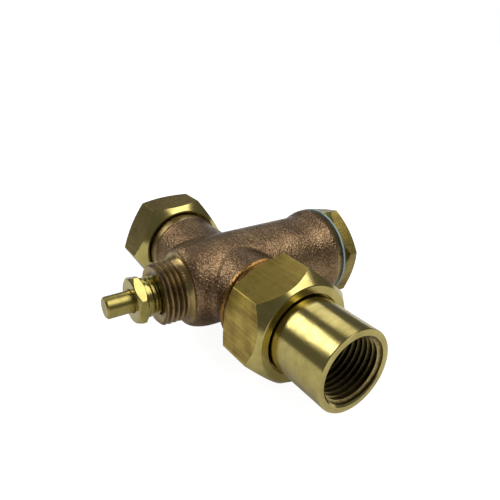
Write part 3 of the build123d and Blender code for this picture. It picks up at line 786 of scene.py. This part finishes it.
# Drawn brass bar of the cap: the same gold, darker with handling.
brass_bar_x = metal("drawn_brass_bar_cap", "#a8924c", "#6d5e30", (0.18, 0.30), bar_grain("X"))
cap = turned_piece("hexagon_end_cap", [
    (cap_face + CAP_POCKET_FLOOR, 0), (cap_face + CAP_POCKET_FLOOR, CAP_POCKET_R),
    (cap_tip, CAP_POCKET_R), (cap_tip, CAP_THREAD_R - 1), (cap_tip + 1, CAP_THREAD_R),
    (cap_face, CAP_THREAD_R), (cap_face, 15.05), (cap_face + 0.1, 15.25),
    (cap_face + CAP_CHAMFER, CAP_CORNER_R), (cap_face + CAP_CHAMFER, CAP_CLEAR_R),
    (cap_end - CAP_CHAMFER, CAP_CLEAR_R), (cap_end - CAP_CHAMFER, CAP_CORNER_R),
    (cap_end - 0.1, 15.3), (cap_end, 15.0), (cap_end, 0),
], (1, 0, 0))
combine(cap, hexagon_bar(
    "bar", "X", BARREL_CENTRE, cap_tip - 1, cap_end + 1, CAP_FLATS, CAP_TURN,
    NUT_ROUND_OFF), "INTERSECT")
split_finish(cap, [brass_bar_x, brass_turned_x], hexagon_finish("X", BARREL_CENTRE, CAP_FLATS))
settle_shading(cap, 15)
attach(cap, "body")
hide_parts("end_cap")

# ==== joint rings ====
# Flat rings punched from blue-grey compressed fibre sheet, with edges that are a little rounded.
# One seals the cap, one the outlet union, and one waits inside the inlet swivel nut.
FIBRE_GAP = 0.005
FIBRE_EDGE = 0.18
FIBRE_SHOULDER = 0.3 * FIBRE_EDGE
CAP_RING_HOLE_R = 13.25
PORT_RING_HOLE_R = 8.3


def fibre_ring(name, node, axis, centre, hole_r):
    """A flat ring the size of its node, with its edges rounded by the punch."""
    low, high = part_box(node)
    axis_number = axis.index(1)
    start = low[axis_number] / MM + FIBRE_GAP
    end = high[axis_number] / MM - FIBRE_GAP
    outer_r = (high.z - low.z) / 2 / MM
    ring = turned_piece(name, [
        (start, hole_r), (start, outer_r - FIBRE_EDGE),
        (start + FIBRE_SHOULDER, outer_r - FIBRE_SHOULDER), (start + FIBRE_EDGE, outer_r),
        (end - FIBRE_EDGE, outer_r), (end - FIBRE_SHOULDER, outer_r - FIBRE_SHOULDER),
        (end, outer_r - FIBRE_EDGE), (end, hole_r),
    ], axis, centre)
    settle_shading(ring, 50)
    finish_in(ring, fibre_sheet)
    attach(ring, "body")
    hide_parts(node)


# Compressed fibre: matt blue-grey, flecked with short fibres.
fibre_sheet = bpy.data.materials.new("compressed_fibre_sheet")
tree = empty_tree(fibre_sheet)
place = add_node(tree, "ShaderNodeTexCoord")
fibres = add_node(tree, "ShaderNodeTexNoise", inputs={
    "Vector": (place, "Object"), "Scale": 1 / (0.5 * MM), "Detail": 5, "Roughness": 0.7})
blotches = add_node(tree, "ShaderNodeTexNoise", inputs={
    "Vector": (place, "Object"), "Scale": 1 / (4 * MM), "Detail": 3})
mixed = add_node(tree, "ShaderNodeMath", operation="ADD", inputs={
    0: (fibres, "Fac"), 1: (blotches, "Fac")})
colour = add_node(tree, "ShaderNodeValToRGB", inputs={"Fac": (mixed, 0)}, stops=[
    (0.7, "#6f939d"), (1.0, "#a3bec3")])
bump = add_node(tree, "ShaderNodeBump", inputs={
    "Height": (fibres, "Fac"), "Distance": 0.04 * MM, "Strength": 1})
shader = add_node(tree, "ShaderNodeBsdfPrincipled", inputs={
    "Base Color": (colour, 0), "Roughness": 0.65, "Normal": (bump, 0)})
add_node(tree, "ShaderNodeOutputMaterial", inputs={"Surface": (shader, 0)})
fibre_ring("cap_joint_ring", "cap_gasket", (1, 0, 0), BARREL_CENTRE, CAP_RING_HOLE_R)
fibre_ring("outlet_joint_ring", "outlet_gasket", (0, 1, 0), outlet_centre, PORT_RING_HOLE_R)
fibre_ring("inlet_joint_ring", "inlet_washer", (0, 1, 0), inlet_centre, PORT_RING_HOLE_R)

# ==== stem and packing ====
# A turned brass lifting stem in a bronze bush. Three rings of braided, greased yarn seal it, and
# the follower presses them when the gland nut is turned.

# Turned brass of the stem: soft gold, a little duller than the nuts.
brass_stem = metal(
    "turned_brass_stem", "#b4a560", "#93854a", (0.28, 0.40), turned_grain("X"))
finish_in(nodes["lifting_stem"], brass_stem)
for name in ("packing_washer", "gland_follower", "disc_washer", "disc_holder"):
    finish_in(nodes[name], brass_turned_x)
finish_in(nodes["guide_bush"], gunmetal_turned)

STRAND_SPACING = 1.2
STRANDS_ROUND = 24


def braid(tree):
    """Square-braided yarn, in strands about 0.6 mm wide that cross each other."""
    place = add_node(tree, "ShaderNodeTexCoord")
    apart = add_node(tree, "ShaderNodeSeparateXYZ", inputs={0: (place, "Object")})
    angle = add_node(tree, "ShaderNodeMath", operation="ARCTAN2", inputs={
        0: (apart, "Z"), 1: (apart, "Y")})
    strands = []
    for slant in (-1, 1):
        lean = add_node(tree, "ShaderNodeMath", operation="MULTIPLY", inputs={
            0: (apart, "X"), 1: slant * math.tau / (STRAND_SPACING * MM)})
        wave = add_node(tree, "ShaderNodeMath", operation="MULTIPLY_ADD", inputs={
            0: (angle, 0), 1: STRANDS_ROUND, 2: (lean, 0)})
        strands.append(add_node(tree, "ShaderNodeMath", operation="SINE", inputs={0: (wave, 0)}))
    return add_node(tree, "ShaderNodeMath", operation="MAXIMUM", inputs={
        0: (strands[0], 0), 1: (strands[1], 0)})


# Greased yarn: grey-brown strands, with painted shade dark between them.
packing_yarn = bpy.data.materials.new("greased_braided_packing")
tree = empty_tree(packing_yarn)
strands = braid(tree)
colour = add_node(tree, "ShaderNodeValToRGB", inputs={"Fac": (strands, 0)}, stops=[
    (0.0, "#3c3a35"), (1.0, "#8f8b80")])
bump = add_node(tree, "ShaderNodeBump", inputs={
    "Height": (strands, 0), "Distance": 0.08 * MM, "Strength": 1})
shader = add_node(tree, "ShaderNodeBsdfPrincipled", inputs={
    "Base Color": (colour, 0), "Roughness": 0.55, "Normal": (bump, 0)})
add_node(tree, "ShaderNodeOutputMaterial", inputs={"Surface": (shader, 0)})
STEM_R = 3.6
PACKING_HOLE_R = STEM_R + 0.03
PACKING_RINGS = 3
RING_GAP = 0.02
SOFT_EDGE = 0.3
SOFT_SHOULDER = 0.3 * SOFT_EDGE
pack_low, pack_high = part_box("stem_packing")
packing_r = (pack_high.z - pack_low.z) / 2 / MM
ring_space = (pack_high.x - pack_low.x) / MM / PACKING_RINGS
rings = []
for number in range(PACKING_RINGS):
    start = pack_low.x / MM + number * ring_space + RING_GAP
    end = start + ring_space - 2 * RING_GAP
    rings.append(turned_piece("packing_ring", [
        (start, PACKING_HOLE_R + SOFT_EDGE), (start, packing_r - SOFT_EDGE),
        (start + SOFT_SHOULDER, packing_r - SOFT_SHOULDER), (start + SOFT_EDGE, packing_r),
        (end - SOFT_EDGE, packing_r), (end - SOFT_SHOULDER, packing_r - SOFT_SHOULDER),
        (end, packing_r - SOFT_EDGE), (end, PACKING_HOLE_R + SOFT_EDGE),
        (end - SOFT_SHOULDER, PACKING_HOLE_R + SOFT_SHOULDER), (end - SOFT_EDGE, PACKING_HOLE_R),
        (start + SOFT_EDGE, PACKING_HOLE_R),
        (start + SOFT_SHOULDER, PACKING_HOLE_R + SOFT_SHOULDER),
    ], (1, 0, 0), steps=64))
bpy.ops.object.select_all(action="DESELECT")
for ring in rings:
    ring.select_set(True)
bpy.context.view_layer.objects.active = rings[0]
bpy.ops.object.join()
packing = rings[0]
packing.name = "braided_packing_rings"
settle_shading(packing, 60)
finish_in(packing, packing_yarn)
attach(packing, "body")
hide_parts("stem_packing")

# ==== seat and disc ====
# A brass seat ring in the wall, and a moulded black nitrile rubber disc that closes on it. The
# disc sits in a turned holder, kept on the stem by a small hexagon lock nut.
finish_in(nodes["seat_ring"], brass_turned_x)
finish_in(nodes["disc_nut"], brass_bar_x)
# Nitrile rubber: near-black and matt, with a faint grey bloom.
rubber = bpy.data.materials.new("moulded_nitrile_rubber")
tree = empty_tree(rubber)
place = add_node(tree, "ShaderNodeTexCoord")
bloom = add_node(tree, "ShaderNodeTexNoise", inputs={
    "Vector": (place, "Object"), "Scale": 1 / (1.5 * MM), "Detail": 5, "Roughness": 0.7})
colour = add_node(tree, "ShaderNodeValToRGB", inputs={"Fac": (bloom, "Fac")}, stops=[
    (0.35, "#2a2a2b"), (0.70, "#484847")])
bump = add_node(tree, "ShaderNodeBump", inputs={
    "Height": (bloom, "Fac"), "Distance": 0.02 * MM, "Strength": 1})
shader = add_node(tree, "ShaderNodeBsdfPrincipled", inputs={
    "Base Color": (colour, 0), "Roughness": 0.6, "Normal": (bump, 0)})
add_node(tree, "ShaderNodeOutputMaterial", inputs={"Surface": (shader, 0)})
disc_low, disc_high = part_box("seat_disc")
disc_r = (disc_high.z - disc_low.z) / 2 / MM
disc_face = disc_low.x / MM
disc_back = disc_high.x / MM
STEM_TAIL_R = 2.5
DISC_EDGE = 0.3
disc_hole_r = STEM_TAIL_R + 0.05
disc = turned_piece("moulded_seat_disc", [
    (disc_face, disc_hole_r), (disc_face, disc_r - DISC_EDGE),
    (disc_face + 0.09, disc_r - 0.09), (disc_face + DISC_EDGE, disc_r),
    (disc_back - 0.1, disc_r), (disc_back, disc_r - 0.1), (disc_back, disc_hole_r),
], (1, 0, 0))
settle_shading(disc, 50)
finish_in(disc, rubber)
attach(disc, "stem")
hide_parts("seat_disc")

# ==== closing spring ====
# A coil spring wound from hard-drawn spring steel wire, between the disc holder and a brass cup
# in the cap. The same steel makes the split ring that holds the inlet nut.

# Hard-drawn steel: clean grey wire with fine lines.
spring_steel = metal(
    "hard_drawn_spring_steel", "#b4b4b0", "#8a8985", (0.20, 0.34), bar_grain("X"))
finish_in(nodes["spring_cup"], brass_turned_x)
finish_in(nodes["retaining_ring"], spring_steel)
WIRE_R = 0.8
COIL_TURNS = 8
WIRE_SIDES = 16
spring_low, spring_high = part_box("closing_spring")
coil_r = (spring_high.z - spring_low.z) / 2 / MM - WIRE_R
coil_start = spring_low.x / MM + WIRE_R
coil_length = (spring_high.x - spring_low.x) / MM - 2 * WIRE_R
bpy.ops.object.select_all(action="DESELECT")
bpy.ops.mesh.primitive_circle_add(
    vertices=WIRE_SIDES, radius=WIRE_R * MM, rotation=(math.radians(90), 0, 0),
    location=(0, 0, coil_r * MM))
spring = bpy.context.object
spring.name = "wound_closing_spring"
bpy.ops.object.transform_apply(location=True, rotation=True)
spring.location.x = coil_start * MM
sweep_helix(spring, "X", coil_length, COIL_TURNS, WIRE_SIDES)
settle_shading(spring, 50)
finish_in(spring, spring_steel)
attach(spring, "body")
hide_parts("closing_spring")
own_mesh(spring)
